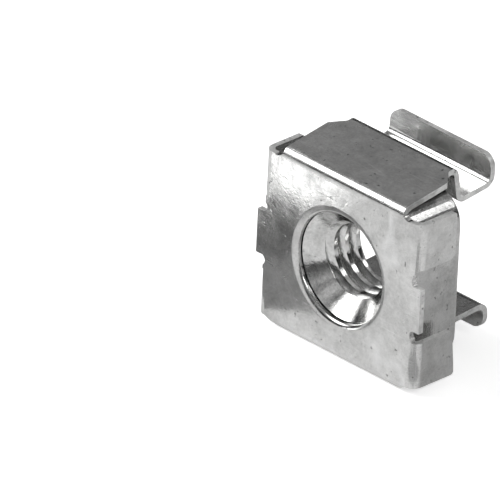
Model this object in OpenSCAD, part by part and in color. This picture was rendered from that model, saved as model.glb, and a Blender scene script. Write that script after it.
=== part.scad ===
// Rack cage nut: a square nut held loosely in a folded spring-steel cage.
// The origin is the middle of the nut's threaded hole. X runs across the cage,
// Y along the hole from the face plate towards the lugs, and Z up.

/* [Sheet] */
// Thickness of the spring steel
sheet_t = 0.4; // [0.3:0.05:0.5]
// Inside radius of the folds round the face plate
fold_r = 0.35; // [0.25:0.05:0.5]

/* [Face plate] */
// Width over the side walls
cage_w = 14.3; // [13.6:0.1:15.5]
// Height over the two flange folds
cage_h = 13.05; // [12.6:0.05:14]
// Diameter of the clearance hole
hole_d = 7.6; // [6.8:0.1:8]
// Width of the drawn-in rim round the hole
rim_w = 0.56; // [0.2:0.02:0.8]
// Depth to which the rim curves in, less than the sheet
rim_l = 0.28; // [0.1:0.02:0.28]

/* [Side walls] */
// Depth of the upper flap behind the front of the plate
flap_l = 3.3; // [2:0.05:4.5]
// Height of the upper flap's lower edge above the hole axis
flap_bottom = 2.62; // [2.2:0.02:3.6]
// Radius of the upper flap's lower rear corner
flap_corner_r = 0.45; // [0.1:0.05:0.8]
// Depth of the lower band at its top edge
band_l = 3.4; // [2:0.05:4.5]
// How far the band's rear edge slants back towards the bottom
band_slant = 0.32; // [0:0.02:0.6]
// Depth of the band's top edge below the hole axis
band_top = 2.68; // [2.4:0.02:3.6]
// Step from each flange's fold line in to the walls' outer edges
wall_step = 0.595; // [0.425:0.01:0.625]
// Radius of the band's rear corners
band_corner_r = 0.25; // [0.1:0.05:0.6]

/* [Tongues] */
// Width over the flat tongues between the folded walls
tongue_w = 14.85; // [14.4:0.05:15.8]
// Top edge of a tongue above the hole axis
tongue_top = 1.45; // [0.8:0.05:1.7]
// Bottom edge of a tongue below the hole axis
tongue_bottom = 1.7; // [1:0.05:1.9]
// Radius of the round cuts at the ends of a tongue
tongue_cut_r = 0.36; // [0.2:0.02:0.4]

/* [Flanges] */
// Width of the top and bottom flanges
flange_w = 10.9; // [10.4:0.1:11.4]
// Depth of the flanges from the front of the plate to their rear corner
flange_l = 5.8; // [5.6:0.05:6.6]
// Angle at which the top flange flares outward
top_flare = 8.5; // [0:0.5:12]
// Radius of the round reliefs where the flange folds end
relief_r = 0.5; // [0.2:0.05:0.7]
// Depth at which the flanges start to narrow to the lugs
neck_start = 4; // [3:0.05:4.4]
// Length over which they narrow
neck_l = 0.95; // [0.5:0.05:1.2]

/* [Lugs] */
// Width of the lugs, which pass through a square rack hole
lug_w = 9.2; // [8.6:0.1:9.4]
// Inside radius of the bend behind the nut
rear_r = 0.25; // [0.15:0.05:0.4]
// Slant of the legs that run inward from the flanges
leg_slant = 10; // [4:1:16]
// Width of the panel channels behind the legs
channel_w = 2.6; // [2.2:0.1:3.4]
// Inside radius between a leg and its channel floor
channel_r = 0.32; // [0.2:0.02:0.5]
// Inside radius between a channel floor and its lip
curl_r = 0.42; // [0.25:0.02:0.6]
// Drop of the top channel floor below the top fold line, at the leg
top_drop = 1.545; // [1.225:0.02:1.825]
// Slope of the top channel floor, outward to the rear
top_slope = 6.5; // [0:0.5:10]
// Rise of the top lip's edge above the top fold line
top_lip = 0.475; // [0.075:0.05:1.075]
// Rise of the bottom channel floor above the bottom fold line, at the leg
bottom_rise = 2.405; // [1.825:0.02:2.625]
// Slope of the bottom channel floor, inward to the rear
bottom_slope = 4; // [0:0.5:8]
// Height of the bottom lip's edge above the bottom fold line
bottom_lip = 0.925; // [0.425:0.05:1.225]
// Backward lean of both lips
lip_lean = 2; // [0:0.5:6]
// Radius of the lips' corners
lip_corner_r = 0.95; // [0.3:0.05:1.1]

/* [Nut] */
// Play between the nut and each flange
nut_play = 0.125; // [0.05:0.025:0.4]
// Thickness of the nut
nut_t = 4.5; // [4:0.05:4.7]
// Radius of the nut's four corners
nut_corner_r = 2.1; // [0.8:0.1:3]
// Bevel round the nut's two faces
nut_bevel = 0.28; // [0.1:0.02:0.5]
// Diameter of the threaded hole's crests
thread_d = 5; // [4.8:0.05:5.4]
// Mouth of the 90 degree countersink behind the plate
countersink_d = 7.5; // [6.4:0.1:8]
// Mouth of the 90 degree chamfer on the rear face
chamfer_d = 6.1; // [5.6:0.1:6.8]
// Gap between the nut and the face plate
nut_gap = 0.1; // [0.05:0.05:0.3]

/* [Hidden] */
$fn = 64;
past = 1;
arc_steps = 8;
bend_steps = 12;
fold_out = fold_r + sheet_t;
rear_out = rear_r + sheet_t;
plate_y = -nut_t / 2 - nut_gap - sheet_t;
half_w = cage_w / 2;
half_h = cage_h / 2;
wall_h = half_h - wall_step;
nut_w = cage_h - 2 * (sheet_t + nut_play);
fold_x = half_w - fold_out;
wall_root = fold_x - relief_r / 2;
edge_x = half_w - fold_out / 2;

// Compass direction of the flat that leaves corner i of an outline
function heading(p, i) = atan2(p[i + 1].y - p[i].y, p[i + 1].x - p[i].x);

// Turn at corner i, positive to the left
function turn(p, i) =
    let (d = heading(p, i) - heading(p, i - 1))
    d > 180 ? d - 360 : d < -180 ? d + 360 : d;

// Length that the bend at corner i takes from each flat beside it
function tangent(p, r, i) = i == 0 || i == len(p) - 1 ? 0 : r[i] * tan(abs(turn(p, i)) / 2);

function unit(a) = [cos(a), sin(a)];

// Corners of a folded strip seen from the side: plate, flange, leg, floor and lip
function lug_profile(flare, floor_h, slope, lip_h) =
    let (
        fold = [0, half_h],
        rear = [flange_l, half_h + flange_l * tan(flare)],
        foot = [rear.x + (rear.y - floor_h) * tan(leg_slant), floor_h],
        curl = foot + [channel_w, channel_w * tan(slope)],
        lip = [curl.x + (lip_h - curl.y) * tan(lip_lean), lip_h]
    )
    [[0, 0], fold, rear, foot, curl, lip];

lug_radii = [0, fold_out, rear_out, channel_r, curl_r, 0];
top_profile = lug_profile(top_flare, half_h - top_drop, top_slope, half_h + top_lip);
bottom_profile = lug_profile(0, half_h - bottom_rise, -bottom_slope, half_h - bottom_lip);
top_start = half_h - tangent(top_profile, lug_radii, 1);
bottom_start = half_h - tangent(bottom_profile, lug_radii, 1);

// Outline with a round of radius r[i] at each corner i
function rounded(p, r) = [
    for (i = [0 : len(p) - 1])
        let (
            n = len(p),
            before = p[(i + n - 1) % n],
            after = p[(i + 1) % n],
            a = atan2(p[i].y - before.y, p[i].x - before.x),
            b = atan2(after.y - p[i].y, after.x - p[i].x),
            d = b - a > 180 ? b - a - 360 : b - a < -180 ? b - a + 360 : b - a,
            start = p[i] - r[i] * tan(abs(d) / 2) * unit(a),
            centre = start + r[i] * unit(a + 90 * sign(d))
        )
        for (k = [0 : r[i] > 0 ? arc_steps : 0])
            r[i] > 0 ? centre + r[i] * unit(a - 90 * sign(d) + d * k / arc_steps) : p[i]
];

// One face of a folded strip, a depth below the outline's own face
function strip_face(p, r, depth) = [
    for (i = [0 : len(p) - 1])
        let (
            ends = i == 0 || i == len(p) - 1,
            a = heading(p, max(i - 1, 0)),
            d = ends ? 0 : turn(p, i),
            left = d > 0 ? 1 : -1,
            centre = p[i] - tangent(p, r, i) * unit(a) + r[i] * unit(a + 90 * left)
        )
        for (k = [0 : ends ? 0 : bend_steps])
            ends ? p[i] + depth * unit((i == 0 ? heading(p, 0) : a) - 90)
                 : centre + (r[i] + left * depth) * unit(a - 90 * left + d * k / bend_steps)
];

// Folded strip of sheet to the right of an outline, with a round bend at each corner
module strip(p, r, width) {
    back = strip_face(p, r, sheet_t);
    linear_extrude(height = width, center = true)
        polygon(concat(strip_face(p, r, 0), [for (i = [len(back) - 1 : -1 : 0]) back[i]]));
}

// Turns a strip's side view to run back and up, with its width across X
module upright() {
    rotate([90, 0, 90]) children();
}

// Flange, leg, channel floor and lip on one side of the plate
module clip(profile) {
    lip = profile[len(profile) - 1];
    difference() {
        intersection() {
            upright() strip(profile, lug_radii, flange_w);
            linear_extrude(height = half_h + lip.y) lug_plan();
        }
        for (side = [-1, 1])
            translate([side * (lug_w / 2 - lip_corner_r), lip.x - sheet_t - curl_r, lip.y - lip_corner_r])
                lip_corner(side);
    }
}

// Fold between the plate and a flange, out to the side folds
module wide_fold(profile, start) {
    upright()
        strip(
            [[0, start - relief_r], profile[1], profile[1] + fold_out * unit(heading(profile, 1))],
            [0, fold_out, 0],
            2 * fold_x
        );
}

// Top fold, ending in round reliefs that dip to where the fold starts
module top_fold() {
    difference() {
        wide_fold(top_profile, top_start);
        for (side = [-1, 1])
            translate([side * (flange_w / 2 + relief_r), 0, top_start + relief_r])
                rotate([90, 0, 0])
                    linear_extrude(height = 4 * fold_out, center = true) {
                        circle(r = relief_r);
                        translate([-relief_r, 0]) square([2 * relief_r, cage_h]);
                        translate([side > 0 ? 0 : -cage_w, -relief_r]) square([cage_w, cage_h]);
                    }
    }
}

// Bottom fold, with its ends cut off at a slant
module bottom_fold() {
    difference() {
        wide_fold(bottom_profile, bottom_start);
        for (side = [0, 1])
            mirror([side, 0, 0])
                rotate([90, 0, 0])
                    linear_extrude(height = 4 * fold_out, center = true)
                        polygon([
                            [flange_w / 2, half_h], [fold_x, wall_h], [fold_x + past, wall_h],
                            [fold_x + past, cage_h], [flange_w / 2, cage_h]
                        ]);
    }
}

// Flange and lug seen from above, narrowing at the neck
module lug_plan() {
    f = flange_w / 2;
    l = lug_w / 2;
    neck_end = neck_start + neck_l;
    far = flange_l + 2 * channel_w + past;
    polygon(rounded(
        [
            [f, -past], [f, neck_start], [l, neck_end], [l, far],
            [-l, far], [-l, neck_end], [-f, neck_start], [-f, -past]
        ],
        [0, sheet_t / 2, sheet_t, 0, 0, sheet_t, sheet_t / 2, 0]
    ));
}

// Waste outside a lip's rounded corner
module lip_corner(side) {
    deep = 3 * sheet_t + 2 * curl_r;
    difference() {
        translate([side > 0 ? 0 : -2 * lip_corner_r, 0, 0])
            cube([2 * lip_corner_r, deep, 2 * lip_corner_r]);
        rotate([-90, 0, 0])
            cylinder(r = lip_corner_r, h = 3 * deep, center = true);
    }
}

// One side wall's sheet, folded back from the plate, between two heights
module wall_sheet(low, high) {
    depth = max(flap_l, band_l + band_slant);
    translate([0, 0, (low + high) / 2])
        strip([[half_w, depth], [half_w, 0], [wall_root, 0]], [0, fold_out, 0], high - low);
}

// Upper flap, with its round lower rear corner; its lower edge dips round the fold
module flap() {
    cut_top = tongue_top + 2 * tongue_cut_r;
    intersection() {
        wall_sheet(cut_top, wall_h);
        upright()
            linear_extrude(height = cage_w)
                polygon(rounded(
                    [
                        [-past, cut_top], [0, cut_top], [fold_out / 3, flap_bottom],
                        [flap_l, flap_bottom], [flap_l, wall_h], [-past, wall_h]
                    ],
                    [0, 0, 0, flap_corner_r, sheet_t / 2, 0]
                ));
    }
}

// Lower band, with its slanting rear edge
module band() {
    intersection() {
        wall_sheet(-wall_h, -band_top);
        upright()
            linear_extrude(height = cage_w)
                polygon(rounded(
                    [
                        [-past, -wall_h], [band_l + band_slant, -wall_h],
                        [band_l, -band_top], [-past, -band_top]
                    ],
                    [0, band_corner_r, band_corner_r, 0]
                ));
    }
}

// Flat sheet of the face plate, from one fold to the other
module plate_sheet() {
    between = wall_root + fold_x;
    translate([-between / 2, 0, -bottom_start])
        cube([between, sheet_t, top_start + bottom_start]);
    translate([-edge_x, 0, -band_top])
        cube([2 * edge_x, sheet_t, flap_bottom + band_top]);
    translate([-tongue_w / 2, 0, -tongue_bottom])
        cube([tongue_w, sheet_t, tongue_top + tongue_bottom]);
}

// Round cuts where a tongue ends at the folded walls
module tongue_cuts() {
    for (side = [-1, 1])
        for (z = [tongue_top + tongue_cut_r, -tongue_bottom - tongue_cut_r])
            translate([side * (edge_x + tongue_cut_r / 2), 0, z])
                rotate([90, 0, 0])
                    cylinder(r = tongue_cut_r, h = 3 * sheet_t, center = true);
}

// Clearance hole with a rim that curves into the plate
module plate_hole() {
    r = hole_d / 2;
    rotate([-90, 0, 0]) {
        translate([0, 0, -past])
            cylinder(d = hole_d, h = sheet_t + 2 * past);
        rotate_extrude()
            polygon(concat(
                [[0, -past], [r + rim_w, -past]],
                [
                    for (k = [0 : arc_steps])
                        let (a = 90 * k / arc_steps)
                        [r + rim_w * (1 - sin(a)), rim_l * (1 - cos(a))]
                ],
                [[0, rim_l]]
            ));
    }
}

// Folded spring cage, one sheet
module spring_cage() {
    color("silver")
        translate([0, plate_y, 0])
            difference() {
                union() {
                    plate_sheet();
                    clip(top_profile);
                    top_fold();
                    mirror([0, 0, 1]) {
                        clip(bottom_profile);
                        bottom_fold();
                    }
                    for (side = [0, 1])
                        mirror([side, 0, 0]) {
                            flap();
                            band();
                        }
                }
                plate_hole();
                tongue_cuts();
            }
}

// Slab between the nut's corner rounds, bevelled where it meets the two faces
module nut_slab() {
    h = nut_w / 2;
    t = nut_t / 2;
    b = nut_bevel;
    long = nut_w - 2 * nut_corner_r;
    translate([-long / 2, 0, 0])
        upright()
            linear_extrude(height = long)
                polygon([
                    [-t, b - h], [b - t, -h], [t - b, -h], [t, b - h],
                    [t, h - b], [t - b, h], [b - t, h], [-t, h - b]
                ]);
}

// Round corner of the nut, bevelled at both faces
module nut_corner() {
    t = nut_t / 2;
    b = nut_bevel;
    r = nut_corner_r;
    rotate([-90, 0, 0])
        rotate_extrude()
            polygon([[0, -t], [r - b, -t], [r, b - t], [r, t - b], [r - b, t], [0, t]]);
}

// Square nut with its threaded hole at crest size
module square_nut() {
    at = nut_w / 2 - nut_corner_r;
    r = thread_d / 2;
    color("gainsboro")
        difference() {
            union() {
                nut_slab();
                rotate([0, 90, 0]) nut_slab();
                for (x = [-at, at])
                    for (z = [-at, at])
                        translate([x, 0, z]) nut_corner();
            }
            rotate([-90, 0, 0]) {
                cylinder(d = thread_d, h = nut_t + 2 * past, center = true);
                translate([0, 0, -nut_t / 2 - past])
                    cylinder(r1 = countersink_d / 2 + past, r2 = r, h = countersink_d / 2 + past - r);
                translate([0, 0, nut_t / 2 - (chamfer_d / 2 - r)])
                    cylinder(r1 = r, r2 = chamfer_d / 2 + past, h = chamfer_d / 2 + past - r);
            }
        }
}

spring_cage();
square_nut();
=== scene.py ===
"""Rack cage nut: a square nut held loosely in a folded spring-steel cage."""

import bpy
import bmesh
from math import cos, hypot, pi, radians, sin
from mathutils import Matrix, Vector


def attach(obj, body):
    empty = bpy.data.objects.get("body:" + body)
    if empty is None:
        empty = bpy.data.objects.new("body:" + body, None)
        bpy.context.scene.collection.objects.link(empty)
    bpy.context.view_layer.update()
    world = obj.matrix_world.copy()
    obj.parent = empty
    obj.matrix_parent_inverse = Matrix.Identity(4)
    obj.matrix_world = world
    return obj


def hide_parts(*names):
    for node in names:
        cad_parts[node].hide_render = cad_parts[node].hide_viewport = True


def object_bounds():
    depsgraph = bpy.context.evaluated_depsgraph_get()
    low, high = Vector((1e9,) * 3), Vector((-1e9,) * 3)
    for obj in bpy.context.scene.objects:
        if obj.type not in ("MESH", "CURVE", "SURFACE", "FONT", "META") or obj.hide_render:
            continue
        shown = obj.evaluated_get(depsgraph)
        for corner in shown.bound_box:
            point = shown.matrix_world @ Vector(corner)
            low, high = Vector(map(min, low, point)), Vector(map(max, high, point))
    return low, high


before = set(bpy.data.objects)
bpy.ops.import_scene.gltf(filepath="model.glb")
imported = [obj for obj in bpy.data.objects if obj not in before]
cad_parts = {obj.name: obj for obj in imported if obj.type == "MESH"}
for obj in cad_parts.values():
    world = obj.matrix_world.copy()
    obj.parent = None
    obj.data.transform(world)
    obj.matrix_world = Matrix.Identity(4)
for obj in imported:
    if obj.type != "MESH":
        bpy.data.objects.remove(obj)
cad_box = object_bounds()

MM = 0.001

# ---------------------------------------------------------------- sizes, in millimetres
PLATE_FRONT = -2.75           # face of the plate the screw's end comes out of
HOLE_R = 3.8                  # clearance hole in the plate
RIM_W = 0.56                  # width of its drawn-in rim
RIM_L = 0.28                  # and depth

WALL_OUTER = 7.15             # outer face of the side walls, and inner
WALL_INNER = 6.75

NUT_W = 12.0                  # square nut, across its flats
NUT_T = 4.5                   # and through it
NUT_CORNER = 2.1
NUT_BEVEL = 0.28
SINK_R = 3.75                 # mouth of the countersink behind the plate
CHAMFER_R = 3.05              # mouth of the rear chamfer
PITCH = 1.0                   # M6 x 1 thread
CREST_R = 2.5
ROOT_R = 3.0
ROOT_FLAT = 0.14
FLANK_RUN = 0.57735           # rise of a flank along the axis per mm of depth, at 30 degrees
BORED_R = 3.8                 # everything inside this radius that faces the axis was bored

SEAT_BACK = 3.4               # the seat that the flanges form round the nut: how far back,
SEAT_HALF_H = 4.5             # from how far above and below the axis,
SEAT_HALF_W = 5.6             # and how far out to each side
WALL_HALF_H = 6.2             # the side walls' edges lie within this height
LIP_BACK = 6.0                # the lips' rims lie behind this,
TOP_LIP_Z = 6.0               # above this on the top lug
BOTTOM_LIP_Z = -4.6           # and below this on the bottom one

# ---------------------------------------------------------------- helpers


def at_ease():
    """Leaves edit mode and deselects everything."""
    if bpy.context.object and bpy.context.object.mode != "OBJECT":
        bpy.ops.object.mode_set(mode="OBJECT")
    bpy.ops.object.select_all(action="DESELECT")


def pick(obj):
    at_ease()
    bpy.context.view_layer.objects.active = obj
    obj.select_set(True)
    return obj


def named(name):
    obj = bpy.context.object
    obj.name = name
    obj.data.name = name
    return obj


def settle(obj):
    """Puts the object's place into its mesh."""
    pick(obj)
    bpy.ops.object.transform_apply(location=True, rotation=True, scale=True)
    return obj


def finish_modifier(obj, kind, name, **values):
    pick(obj)
    mod = obj.modifiers.new(name, kind)
    for key, value in values.items():
        setattr(mod, key, value)
    bpy.ops.object.modifier_apply(modifier=mod.name)
    return obj


def select_edges(obj, test):
    """Selects the edges in edit mode for which test(edge) is true."""
    pick(obj)
    bpy.ops.object.mode_set(mode="EDIT")
    bpy.ops.mesh.select_mode(type="EDGE")
    bpy.ops.mesh.select_all(action="DESELECT")
    bm = bmesh.from_edit_mesh(obj.data)
    for e in bm.edges:
        e.select_set(test(e))
    bmesh.update_edit_mesh(obj.data)


# ---------------------------------------------------------------- camera

AZIMUTH = radians(44.3)       # to the right of the plate's normal
ELEVATION = radians(27.8)
ROLL = radians(-2.77)
DISTANCE = 1430.0             # from the thread's centre
VIEW_W = 32.071841            # width of the view at the thread's centre
LEFT_OF_NUT = 0.737           # where the thread's centre falls across the view, from 0 to 1,
ABOVE_NUT = 0.513             # and down it
SENSOR_W = 36.0


def make_camera():
    to_camera = Vector((
        sin(AZIMUTH) * cos(ELEVATION), -cos(AZIMUTH) * cos(ELEVATION), sin(ELEVATION),
    ))
    right = Vector((cos(AZIMUTH), sin(AZIMUTH), 0.0))
    up = to_camera.cross(right)
    turn = Matrix.Rotation(-ROLL, 3, to_camera)
    right, up = turn @ right, turn @ up
    middle = right * (0.5 - LEFT_OF_NUT) * VIEW_W + up * (ABOVE_NUT - 0.5) * VIEW_W
    data = bpy.data.cameras.new("camera")
    data.sensor_width = SENSOR_W
    data.lens = SENSOR_W * DISTANCE / VIEW_W
    data.clip_start = 0.05
    data.clip_end = 20.0
    cam = bpy.data.objects.new("camera", data)
    bpy.context.scene.collection.objects.link(cam)
    axes = Matrix((right, up, to_camera)).transposed()
    cam.matrix_world = Matrix.Translation((middle + to_camera * DISTANCE) * MM) @ axes.to_4x4()
    bpy.context.scene.camera = cam


make_camera()

# ---------------------------------------------------------------- node groups


def new_group(name, inputs, outputs):
    group = bpy.data.node_groups.new(name, "ShaderNodeTree")
    for label, kind, value in inputs:
        socket = group.interface.new_socket(label, in_out="INPUT", socket_type=kind)
        if value is not None:
            socket.default_value = value
    for label, kind in outputs:
        group.interface.new_socket(label, in_out="OUTPUT", socket_type=kind)
    return group


class Tree:
    """Short hand for laying out nodes in one node tree."""

    def __init__(self, tree):
        self.tree = tree

    def add(self, kind, **settings):
        node = self.tree.nodes.new("ShaderNode" + kind)
        for key, value in settings.items():
            if key[0].isupper():
                node.inputs[key.replace("_", " ")].default_value = value
            else:
                setattr(node, key, value)
        return node

    def link(self, a, b):
        self.tree.links.new(a, b)

    def noise(self, coords, scale, detail=4.0, rough=0.6, distort=0.0):
        node = self.add("TexNoise", Scale=scale, Detail=detail, Roughness=rough, Distortion=distort)
        self.link(coords, node.inputs["Vector"])
        return node.outputs["Fac"]

    def ramp(self, value, *stops):
        """Maps a value through (position, grey) stops."""
        node = self.tree.nodes.new("ShaderNodeValToRGB")
        bar = node.color_ramp
        while len(bar.elements) < len(stops):
            bar.elements.new(0.5)
        for element, (place, tone) in zip(bar.elements, stops):
            element.position = place
            element.color = (tone, tone, tone, 1.0)
        self.link(value, node.inputs["Fac"])
        return node.outputs["Color"]

    def math(self, what, a, b, clamp=False):
        node = self.add("Math", operation=what, use_clamp=clamp)
        for i, value in enumerate((a, b)):
            if isinstance(value, (int, float)):
                node.inputs[i].default_value = value
            else:
                self.link(value, node.inputs[i])
        return node.outputs["Value"]

    def mix(self, fac, a, b):
        """Mixes two colours, each a socket or a plain colour."""
        node = self.add("Mix", data_type="RGBA")
        for index, value in ((0, fac), (6, a), (7, b)):
            if isinstance(value, tuple):
                node.inputs[index].default_value = value
            else:
                self.link(value, node.inputs[index])
        return node.outputs[2]

    def stretched(self, coords, scale, turn=(0.0, 0.0, 0.0)):
        node = self.add("Mapping")
        node.inputs["Scale"].default_value = scale
        node.inputs["Rotation"].default_value = turn
        self.link(coords, node.inputs["Vector"])
        return node.outputs["Vector"]


def make_scratches():
    """Fine straight marks that run three ways over a surface: 0 none, 1 full."""
    group = new_group(
        "fine_scratches",
        [("Coords", "NodeSocketVector", None), ("Density", "NodeSocketFloat", 0.5)],
        [("Mask", "NodeSocketFloat")],
    )
    t = Tree(group)
    start = group.nodes.new("NodeGroupInput")
    end = group.nodes.new("NodeGroupOutput")
    total = None
    for turn, scale in (
        ((0.3, 0.2, 0.5), (160.0, 9000.0, 160.0)),
        ((1.1, 0.6, 2.2), (240.0, 12000.0, 240.0)),
        ((0.2, 1.3, 1.1), (200.0, 200.0, 10000.0)),
    ):
        lines = t.noise(t.stretched(start.outputs["Coords"], scale, turn), 1.0, 0.0, 0.5)
        thin = t.ramp(lines, (0.0, 0.0), (0.68, 0.0), (0.72, 1.0), (0.76, 0.0))
        total = thin if total is None else t.math("MAXIMUM", total, thin)
    patches = t.noise(start.outputs["Coords"], 380.0, 2.0)
    shown = t.math("MULTIPLY", total, t.ramp(patches, (0.42, 0.0), (0.62, 1.0)))
    t.link(t.math("MULTIPLY", shown, start.outputs["Density"], clamp=True), end.inputs["Mask"])
    return group


def make_plating():
    """Plated steel: tone patches, dark specks, shallow dings and an uneven gloss."""
    group = new_group(
        "plated_steel",
        [
            ("Coords", "NodeSocketVector", None),
            ("Light", "NodeSocketColor", (0.8, 0.8, 0.8, 1.0)),
            ("Dark", "NodeSocketColor", (0.5, 0.5, 0.5, 1.0)),
            ("Pits", "NodeSocketFloat", 0.5),
            ("Gloss low", "NodeSocketFloat", 0.16),
            ("Gloss high", "NodeSocketFloat", 0.34),
        ],
        [
            ("Color", "NodeSocketColor"),
            ("Roughness", "NodeSocketFloat"),
            ("Height", "NodeSocketFloat"),
        ],
    )
    t = Tree(group)
    start = group.nodes.new("NodeGroupInput")
    end = group.nodes.new("NodeGroupOutput")
    coords = start.outputs["Coords"]
    wide = t.noise(coords, 230.0, 3.0, 0.55, 0.6)
    cloudy = t.noise(coords, 1100.0, 5.0, 0.62, 0.3)
    grain = t.noise(coords, 5200.0, 3.0, 0.6)
    dings = t.ramp(t.noise(coords, 1900.0, 1.0, 0.4), (0.0, 0.0), (0.66, 0.0), (0.74, 1.0))
    tone = t.math("ADD", t.math("MULTIPLY", wide, 0.35), t.math("MULTIPLY", cloudy, 0.4))
    tone = t.math("ADD", tone, t.math("MULTIPLY", grain, 0.25))
    tone = t.ramp(tone, (0.38, 0.0), (0.60, 1.0))
    colour = t.mix(tone, start.outputs["Dark"], start.outputs["Light"])
    specks = t.ramp(t.noise(coords, 2600.0, 2.0, 0.5), (0.0, 1.0), (0.26, 1.0), (0.32, 0.0))
    specks = t.math("MULTIPLY", specks, start.outputs["Pits"])
    colour = t.mix(specks, colour, SPECK_TONE)
    t.link(colour, end.inputs["Color"])
    span = t.math("SUBTRACT", start.outputs["Gloss high"], start.outputs["Gloss low"])
    dull = t.ramp(t.noise(coords, 640.0, 4.0, 0.65, 0.4), (0.35, 0.0), (0.68, 1.0))
    roughness = t.math("ADD", t.math("MULTIPLY", dull, span), start.outputs["Gloss low"])
    t.link(roughness, end.inputs["Roughness"])
    height = t.math("ADD", t.math("MULTIPLY", cloudy, 0.3), t.math("MULTIPLY", grain, 0.3))
    height = t.math("SUBTRACT", height, t.math("MULTIPLY", specks, 0.5))
    height = t.math("SUBTRACT", height, t.math("MULTIPLY", dings, 0.15))
    t.link(height, end.inputs["Height"])
    return group


SPECK_TONE = (0.10, 0.10, 0.10, 1.0)
SCRATCH_TONE = (0.9, 0.9, 0.9, 1.0)
SCRATCH_DEPTH = 0.18
BRUSH_DEPTH = 0.9
BUMP_HEIGHT = 0.00004

SCRATCHES = make_scratches()
PLATING = make_plating()


def steel(name, light, dark, pits, gloss, relief, scratches, brushed=None):
    """Plated steel between two tones; brushed is how finely lines repeat along each axis."""
    mat = bpy.data.materials.new(name)
    mat.use_nodes = True
    t = Tree(mat.node_tree)
    shader = mat.node_tree.nodes["Principled BSDF"]
    coords = t.add("TexCoord").outputs["Object"]
    plating = mat.node_tree.nodes.new("ShaderNodeGroup")
    plating.node_tree = PLATING
    t.link(coords, plating.inputs["Coords"])
    plating.inputs["Light"].default_value = (light, light, light * 0.99, 1.0)
    plating.inputs["Dark"].default_value = (dark, dark, dark * 0.99, 1.0)
    plating.inputs["Pits"].default_value = pits
    plating.inputs["Gloss low"].default_value = gloss[0]
    plating.inputs["Gloss high"].default_value = gloss[1]
    marks = mat.node_tree.nodes.new("ShaderNodeGroup")
    marks.node_tree = SCRATCHES
    t.link(coords, marks.inputs["Coords"])
    marks.inputs["Density"].default_value = scratches
    colour = t.mix(marks.outputs["Mask"], plating.outputs["Color"], SCRATCH_TONE)
    sunk = t.math("MULTIPLY", marks.outputs["Mask"], SCRATCH_DEPTH)
    height = t.math("SUBTRACT", plating.outputs["Height"], sunk)
    if brushed:
        lines = t.noise(t.stretched(coords, brushed), 1.0, 3.0, 0.6)
        height = t.math("ADD", height, t.math("MULTIPLY", lines, BRUSH_DEPTH))
    bump = t.add("Bump", Strength=relief, Distance=BUMP_HEIGHT)
    t.link(height, bump.inputs["Height"])
    t.link(colour, shader.inputs["Base Color"])
    t.link(plating.outputs["Roughness"], shader.inputs["Roughness"])
    t.link(bump.outputs["Normal"], shader.inputs["Normal"])
    shader.inputs["Metallic"].default_value = 1.0
    return mat


SHEET = steel("plated_sheet", 0.73, 0.50, 0.8, (0.14, 0.28), 0.36, 0.6)
CUT = steel(
    "sheared_edge", 0.84, 0.42, 0.8, (0.30, 0.5), 0.9, 0.0, brushed=(2500.0, 500.0, 2500.0),
)
CUT.node_tree.nodes["Principled BSDF"].inputs["Metallic"].default_value = 0.55
# Dark, duller copy of the plated sheet: painted shade for the faces in the gap round the nut.
PAINTED_SHADE_SHEET = steel("inner_sheet_painted_shade", 0.26, 0.14, 0.5, (0.2, 0.4), 0.5, 0.2)
NUT = steel(
    "plated_nut", 0.70, 0.42, 0.6, (0.14, 0.28), 0.40, 0.3, brushed=(300.0, 9000.0, 300.0),
)
THREAD = steel("cut_thread", 0.82, 0.46, 0.3, (0.09, 0.22), 0.5, 0.1)

# ---------------------------------------------------------------- spring cage

SAME_POINT = 0.000002         # in metres: corners closer than this are one
EASE_W = 0.00009              # how far the sheared edges are eased
BROAD_FACE = 0.6 * MM * MM    # a face over this area is shaded truly flat
RIM_SLACK = 0.01              # in millimetres, round the rim's own measures


def make_cage():
    """The folded sheet, with its sheared edges eased."""
    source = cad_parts["spring_cage"]
    mesh = source.data.copy()
    cage = bpy.data.objects.new("cage_sheet", mesh)
    bpy.context.scene.collection.objects.link(cage)
    cage.data.materials.clear()
    pick(cage)
    bpy.ops.object.mode_set(mode="EDIT")
    bpy.ops.mesh.select_all(action="SELECT")
    bpy.ops.mesh.remove_doubles(threshold=SAME_POINT)
    bpy.ops.mesh.dissolve_limited(angle_limit=radians(0.6))
    bpy.ops.object.mode_set(mode="OBJECT")
    finish_modifier(
        cage, "BEVEL", "eased edges", width=EASE_W, segments=3, limit_method="ANGLE",
        angle_limit=radians(50), use_clamp_overlap=True, miter_outer="MITER_ARC",
    )
    pick(cage)
    bpy.ops.object.shade_smooth_by_angle(angle=radians(38))
    finish_modifier(cage, "WEIGHTED_NORMAL", "flat faces", mode="FACE_AREA", weight=80, keep_sharp=True)
    smooth_rim(cage.data)
    cage.data.materials.append(SHEET)
    cage.data.materials.append(CUT)
    cage.data.materials.append(PAINTED_SHADE_SHEET)
    # Sheared edges get their own finish; the faces round the nut's seat get the painted shade.
    for face in cage.data.polygons:
        face.material_index = 1 if is_cut_face(face) else 2 if is_painted_shade_face(face) else 0
    return cage


def flat_normals(mesh):
    """Shading normals, with every broad flat face shaded truly flat."""
    normals = [Vector(n.vector) for n in mesh.corner_normals]
    for face in mesh.polygons:
        if face.area > BROAD_FACE:
            for corner in face.loop_indices:
                normals[corner] = Vector(face.normal)
    return normals


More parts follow.
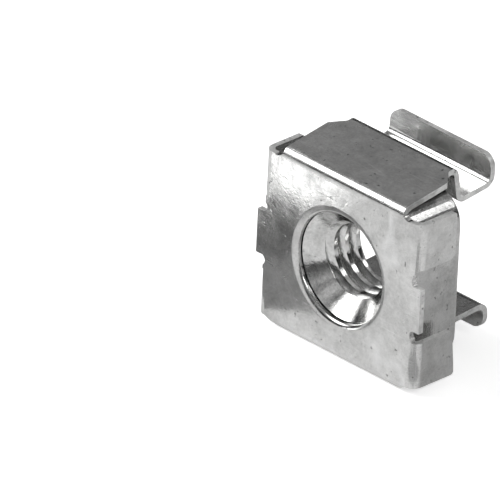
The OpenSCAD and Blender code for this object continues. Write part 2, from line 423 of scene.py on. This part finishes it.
def smooth_rim(mesh):
    """Gives the drawn-in rim of the hole the shading of its true round."""
    normals = flat_normals(mesh)
    for face in mesh.polygons:
        for corner in face.loop_indices:
            x, y, z = mesh.vertices[mesh.loops[corner].vertex_index].co / MM
            out = hypot(x, z)
            in_y = y - PLATE_FRONT
            beside = HOLE_R - RIM_SLACK < out < HOLE_R + RIM_W + RIM_SLACK
            if not (beside and -RIM_SLACK < in_y < RIM_L + RIM_SLACK):
                continue
            sine = min(max((HOLE_R + RIM_W - out) / RIM_W, 0.0), 1.0)
            inward, front = RIM_L * sine, RIM_W * (1 - sine * sine) ** 0.5
            true = Vector((-inward * x / out, -front, -inward * z / out)).normalized()
            if true.dot(face.normal) > 0.8:
                normals[corner] = true
    mesh.normals_split_custom_set(normals)


def is_painted_shade_face(face):
    """True on the faces round the nut's seat, which get a dark, duller sheet as painted shade."""
    x, y, z = (c / MM for c in face.center)
    over_nut = PLATE_FRONT + 0.3 < y < SEAT_BACK and abs(z) > SEAT_HALF_H and abs(x) < SEAT_HALF_W
    return over_nut and (z * face.normal.z < -0.1 * MM or face.normal.y < -0.5)


def is_cut_face(face):
    """True on the sheared edges of the sheet."""
    x, y, z = (c / MM for c in face.center)
    nx, ny, nz = (abs(c) for c in face.normal)
    across = nx > 0.85 and (abs(x) < WALL_INNER - 0.1 or abs(x) > WALL_OUTER + 0.1)
    wall_top = nz > 0.7 and abs(x) > WALL_INNER - 0.35 and abs(z) < WALL_HALF_H
    wall_back = ny > 0.8 and abs(x) > WALL_INNER - 0.02 and y > 0
    lip_edge = y > LIP_BACK and nz > 0.5 and (z > TOP_LIP_Z or z < BOTTOM_LIP_Z)
    return across or wall_top or wall_back or lip_edge


cage = make_cage()
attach(cage, "root")
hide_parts("spring_cage")

# ---------------------------------------------------------------- square nut


def is_face_rim(edge):
    """True on the edges round the blank's front and rear faces."""
    start, end = (v.co.y for v in edge.verts)
    return abs(abs(start) - NUT_T / 2 * MM) < 1e-6 and abs(start - end) < 1e-6


def make_blank():
    """Square blank with rounded corners and bevelled faces."""
    at_ease()
    bpy.ops.mesh.primitive_cube_add(size=1.0, location=(0, 0, 0))
    blank = named("nut_square")
    blank.scale = (NUT_W * MM, NUT_T * MM, NUT_W * MM)
    settle(blank)
    select_edges(blank, lambda e: abs(e.verts[0].co.y - e.verts[1].co.y) > 1 * MM)
    bpy.ops.mesh.bevel(offset=NUT_CORNER * MM, segments=14, profile=0.5, affect="EDGES")
    select_edges(blank, is_face_rim)
    bpy.ops.mesh.bevel(offset=NUT_BEVEL * MM, segments=3, profile=0.55, affect="EDGES")
    bpy.ops.object.mode_set(mode="OBJECT")
    return blank


def make_drill():
    """Core drill with the countersink and the rear chamfer, as one turned tool."""
    past = 1.0
    front = -NUT_T / 2
    rear = NUT_T / 2
    outline = [
        (0.0, front - past), (SINK_R + past, front - past), (CREST_R, front + SINK_R - CREST_R),
        (CREST_R, rear - (CHAMFER_R - CREST_R)), (CHAMFER_R + past, rear + past), (0.0, rear + past),
    ]
    return turned("drill", outline, 128)


def turned(name, outline, steps):
    """Spins an outline of (radius, place along Y) into a closed tool."""
    at_ease()
    mesh = bpy.data.meshes.new(name)
    corners = [(r * MM, y * MM, 0.0) for r, y in outline]
    mesh.from_pydata(corners, [(i, i + 1) for i in range(len(outline) - 1)], [])
    tool = bpy.data.objects.new(name, mesh)
    bpy.context.scene.collection.objects.link(tool)
    pick(tool)
    bpy.ops.object.mode_set(mode="EDIT")
    bpy.ops.mesh.select_all(action="SELECT")
    bpy.ops.mesh.spin(steps=steps, angle=2 * pi, center=(0, 0, 0), axis=(0, 1, 0))
    bpy.ops.mesh.select_all(action="SELECT")
    bpy.ops.mesh.remove_doubles(threshold=0.000001)
    bpy.ops.mesh.normals_make_consistent(inside=False)
    bpy.ops.object.mode_set(mode="OBJECT")
    return tool


def make_tap():
    """Closed rod with the thread that a tap leaves in the nut.

    The helix is left-handed as written. A real M6 thread is right-handed: for
    that, the last term of each point below becomes -r * sin(a) * MM.
    """
    flank = (ROOT_R - CREST_R) * FLANK_RUN
    low = PITCH / 2 - ROOT_FLAT / 2
    high = PITCH / 2 + ROOT_FLAT / 2
    inner = CREST_R - 0.03
    ridge = [
        (inner, 0.0), (inner, low - flank), (ROOT_R - 0.03, low - 0.02), (ROOT_R, low + 0.03),
        (ROOT_R, high - 0.03), (ROOT_R - 0.03, high + 0.02), (inner, high + flank), (inner, PITCH),
    ]
    turns, steps = 7, 96
    bm = bmesh.new()
    rows = []
    for k in range(turns * steps + 1):
        a = 2 * pi * k / steps
        rise = PITCH * (k / steps - (turns + 1) / 2)
        rows.append([
            bm.verts.new((r * cos(a) * MM, (y + rise) * MM, r * sin(a) * MM)) for r, y in ridge
        ])
    for before, after in zip(rows, rows[1:]):
        for i in range(len(ridge) - 1):
            bm.faces.new((before[i], before[i + 1], after[i + 1], after[i]))
    bmesh.ops.remove_doubles(bm, verts=bm.verts, dist=0.000001)
    for side in (-1, 1):
        loop = [
            e for e in bm.edges
            if e.is_boundary and side * (e.verts[0].co.y + e.verts[1].co.y) > 0
        ]
        tip = bm.verts.new((0, side * PITCH * (turns / 2 + 1) * MM, 0))
        for e in loop:
            bm.faces.new((e.verts[0], e.verts[1], tip))
    bmesh.ops.recalc_face_normals(bm, faces=bm.faces)
    mesh = bpy.data.meshes.new("tap")
    bm.to_mesh(mesh)
    bm.free()
    tap = bpy.data.objects.new("tap", mesh)
    bpy.context.scene.collection.objects.link(tap)
    return tap


def cut(body, tool):
    finish_modifier(body, "BOOLEAN", "cut", operation="DIFFERENCE", solver="EXACT", object=tool)
    bpy.data.objects.remove(tool)
    return body


nut = make_blank()
cut(nut, make_drill())
cut(nut, make_tap())
pick(nut)
bpy.ops.object.shade_smooth_by_angle(angle=radians(32))
finish_modifier(nut, "WEIGHTED_NORMAL", "flat faces", mode="FACE_AREA", weight=80, keep_sharp=True)
nut.data.normals_split_custom_set(flat_normals(nut.data))
nut.data.materials.append(NUT)
nut.data.materials.append(THREAD)
for face in nut.data.polygons:
    inward = face.normal.x * face.center.x + face.normal.z * face.center.z < 0
    bored = hypot(face.center.x, face.center.z) < BORED_R * MM and inward
    face.material_index = 1 if bored else 0
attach(nut, "root")
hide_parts("square_nut")

# ---------------------------------------------------------------- floor, backdrop and lights

FLOOR_Z = cad_box[0][2]
FLOOR_GAP = 0.00001           # keeps the floor just under the part
FLOOR_GLOW = 0.6              # lifts the floor to white for the camera


def pale(name, tone):
    """Pale surface that still shows the object's shadow."""
    mat = bpy.data.materials.new(name)
    mat.use_nodes = True
    shader = mat.node_tree.nodes["Principled BSDF"]
    shader.inputs["Base Color"].default_value = (tone, tone, tone, 1.0)
    shader.inputs["Roughness"].default_value = 0.9
    shader.inputs["Specular IOR Level"].default_value = 0.1
    return mat


def make_floor():
    at_ease()
    bpy.ops.mesh.primitive_plane_add(size=2.4, location=(0, 0, FLOOR_Z - FLOOR_GAP))
    floor = named("floor")
    settle(floor)
    mat = pale("white_floor", 0.9)
    t = Tree(mat.node_tree)
    shader = mat.node_tree.nodes["Principled BSDF"]
    shader.inputs["Emission Color"].default_value = (1.0, 1.0, 1.0, 1.0)
    seen = t.add("LightPath").outputs["Is Camera Ray"]
    t.link(t.math("MULTIPLY", seen, FLOOR_GLOW), shader.inputs["Emission Strength"])
    floor.data.materials.append(mat)


def card(name, place, aim, wide, high, tone, turn=0.0, glow=0.0):
    """Flat card that only the metal sees, light or dark."""
    at_ease()
    bpy.ops.mesh.primitive_plane_add(size=1.0)
    obj = named(name)
    obj.scale = (wide * MM, high * MM, 1.0)
    settle(obj)
    way = (Vector(aim) - Vector(place)).normalized()
    facing = way.to_track_quat("Z", "Y").to_matrix()
    obj.rotation_euler = (facing @ Matrix.Rotation(radians(turn), 3, "Z")).to_euler()
    obj.location = Vector(place) * MM
    mat = bpy.data.materials.new(name)
    mat.use_nodes = True
    shader = mat.node_tree.nodes["Principled BSDF"]
    shader.inputs["Base Color"].default_value = (tone, tone, tone, 1.0)
    shader.inputs["Roughness"].default_value = 1.0
    shader.inputs["Specular IOR Level"].default_value = 0.0
    shader.inputs["Emission Color"].default_value = (1.0, 1.0, 1.0, 1.0)
    shader.inputs["Emission Strength"].default_value = glow
    obj.data.materials.append(mat)
    obj.visible_camera = False
    obj.visible_shadow = False
    obj.visible_diffuse = False
    return obj


def soft_card(name, place, aim, wide, high, glow):
    """Glowing card that fades towards its rim."""
    obj = card(name, place, aim, wide, high, 0.0)
    t = Tree(obj.active_material.node_tree)
    shader = obj.active_material.node_tree.nodes["Principled BSDF"]
    own = t.add("TexCoord").outputs["Object"]
    spread = t.stretched(own, (2 / (wide * MM), 2 / (high * MM), 1.0))
    reach = t.add("VectorMath", operation="LENGTH")
    t.link(spread, reach.inputs[0])
    fade = t.ramp(reach.outputs["Value"], (0.0, 1.0), (0.35, 0.8), (0.7, 0.25), (1.0, 0.0))
    t.link(t.math("MULTIPLY", fade, glow), shader.inputs["Emission Strength"])
    return obj


def lamp(name, place, aim, wide, high, watts):
    data = bpy.data.lights.new(name, "AREA")
    data.shape = "RECTANGLE"
    data.size = wide * MM
    data.size_y = high * MM
    data.energy = watts
    data.spread = pi
    obj = bpy.data.objects.new(name, data)
    bpy.context.scene.collection.objects.link(obj)
    way = (Vector(aim) - Vector(place)).normalized()
    obj.location = Vector(place) * MM
    obj.rotation_euler = way.to_track_quat("-Z", "Y").to_euler()
    return obj


def make_world():
    """White to the camera only; the metal sees a dim studio with lighter and darker walls."""
    world = bpy.data.worlds.new("studio")
    world.use_nodes = True
    bpy.context.scene.world = world
    t = Tree(world.node_tree)
    back = world.node_tree.nodes["Background"]
    seen = t.add("LightPath").outputs["Is Camera Ray"]
    around = t.add("TexCoord").outputs["Generated"]
    walls = t.ramp(t.noise(around, 2.1, 3.0, 0.55), (0.38, 0.08), (0.50, 0.22), (0.62, 0.60))
    parts = t.add("SeparateXYZ")
    t.link(around, parts.inputs["Vector"])
    height = t.ramp(parts.outputs["Z"], (0.0, 0.15), (0.22, 0.22), (0.42, 1.0))
    walls = t.math("MULTIPLY", walls, height)
    back.inputs["Color"].default_value = (1.0, 1.0, 1.0, 1.0)
    t.link(t.math("MAXIMUM", seen, walls), back.inputs["Strength"])


make_world()
make_floor()
key = lamp("softbox_left", (-270, -200, 245), (0, 0, 0), 190, 190, 1.5)
key.visible_glossy = False
lamp("softbox_right", (330, -60, 260), (0, 0, 0), 140, 140, 0.5)
soft_card("softbox_face", (-255, -185, 290), (0, 0, 0), 370, 470, 7.5)
soft_card("rim_card", (190, 260, 255), (0, 0, 0), 160, 160, 6.0)
card("grey_flag", (-260, 200, 250), (0, 0, 0), 330, 330, 0.02, glow=0.27)
card("black_flag", (-232, 247, 158), (0, 0, 0), 190, 100, 0.01)
# Cards on the floor that only the metal sees: painted shade, grey and dark patches of shadow that the
# plate and walls mirror; camera_shade is the camera's shade in front of the part.
floor_mm = FLOOR_Z / MM
card(
    "painted_shade_sheet", (-15.5, -10.5, floor_mm + 0.03), (-15.5, -10.5, 100), 11.0, 20.0, 0.30, turn=-44,
)
card("camera_shade", (17.0, -12.4, floor_mm + 0.03), (17.0, -12.4, 100), 6.0, 26.0, 0.48, turn=44)
card(
    "painted_shade_strip", (-15.2, -12.9, floor_mm + 0.05), (-15.2, -12.9, 100), 6.5, 10.0, 0.16, turn=-44,
)
card(
    "bright_strip", (-17.0, -16.8, floor_mm + 1.8), (-17.0, 0, floor_mm + 1.8), 6.5, 4.4, 0.9,
    glow=2.2,
)

bpy.context.scene.view_settings.view_transform = "Standard"
